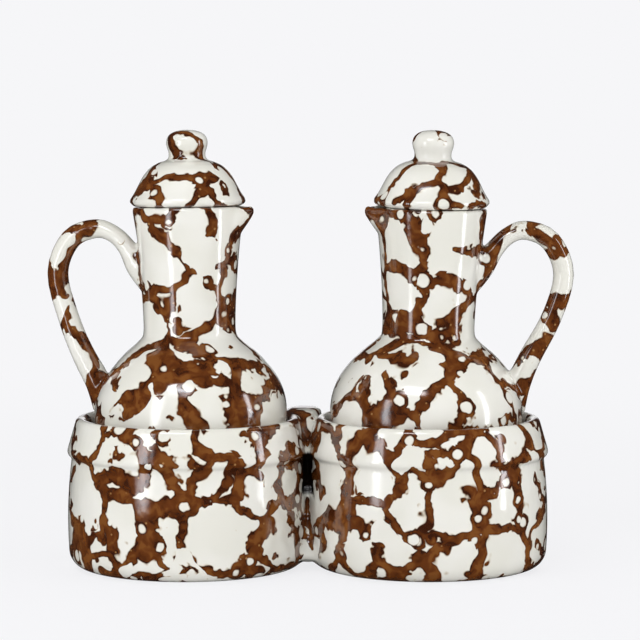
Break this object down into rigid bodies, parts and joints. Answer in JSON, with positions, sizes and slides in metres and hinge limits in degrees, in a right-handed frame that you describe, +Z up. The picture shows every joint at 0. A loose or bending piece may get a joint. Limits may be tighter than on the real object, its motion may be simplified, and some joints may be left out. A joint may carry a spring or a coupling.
{
  "type": "oil and vinegar cruet",
  "caption": "Glazed ceramic oil and vinegar cruet: lidded jugs with pinched spouts and loop handles, standing in joined round cups with a strap handle behind.",
  "frame": {"origin": "middle of the bounding box, on the surface that the stand rests on", "axes": "+X from the left jug to the right jug, +Y to the back where the strap handle is, +Z up"},
  "size_m": [0.2642, 0.1222, 0.2187],
  "materials": {
    "splatter_glaze": "glossy cream glaze with brown splatter"
  },
  "bodies": {
    "root": {"stand": "splatter_glaze", "left_jug": "splatter_glaze", "right_jug": "splatter_glaze", "left_lid": "splatter_glaze", "right_lid": "splatter_glaze"}
  },
  "joints": []
}
